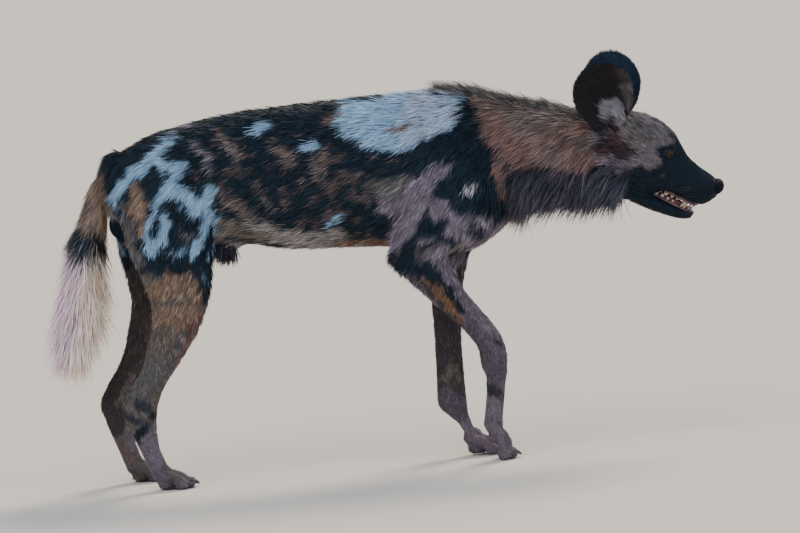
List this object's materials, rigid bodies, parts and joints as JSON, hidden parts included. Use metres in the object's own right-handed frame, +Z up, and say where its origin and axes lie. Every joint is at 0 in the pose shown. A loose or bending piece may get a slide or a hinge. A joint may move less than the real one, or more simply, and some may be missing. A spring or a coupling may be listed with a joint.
{
  "type": "african wild dog",
  "caption": "Life-size African wild dog in mid step: lean body, large round upright ears, lowered head with parted jaws, blotched coat and hanging bushy white tail.",
  "frame": {"origin": "centre of the bounding box's base, on the floor that the feet stand on", "axes": "+X from the tail towards the nose, +Y towards the animal's left side, +Z up"},
  "size_m": [1.2006, 0.214, 0.6881],
  "materials": {
    "coat_black": "black short coat",
    "coat_brown": "warm brown coat of head and neck",
    "coat_tan": "tan short coat",
    "coat_white": "white long hair of the tail's brush",
    "coat_lilac": "thin grey-pink coat with the skin showing through",
    "nose_leather": "moist black nose skin",
    "eye": "wet dark brown eye",
    "tongue": "moist pink tongue",
    "mouth": "moist gums and palate",
    "tooth": "ivory tooth",
    "claw": "dark horn claw",
    "whisker": "stiff black whisker"
  },
  "bodies": {
    "root": {"ear_left": "coat_black", "ear_right": "coat_black", "eye_left": "eye", "eye_right": "eye", "fore_foot_left": "coat_lilac", "fore_foot_right": "coat_lilac", "fore_leg_left": "coat_tan", "fore_leg_right": "coat_lilac", "head": "coat_brown", "hind_foot_left": "coat_tan", "hind_foot_right": "coat_lilac", "hind_leg_left": "coat_tan", "hind_leg_right": "coat_tan", "lower_jaw": "coat_black", "neck": "coat_brown", "nose": "nose_leather", "sheath_tuft": "coat_black", "tail_brush": "coat_white", "tail_root": "coat_tan", "tongue": "tongue", "torso": "coat_black"}
  },
  "joints": []
}
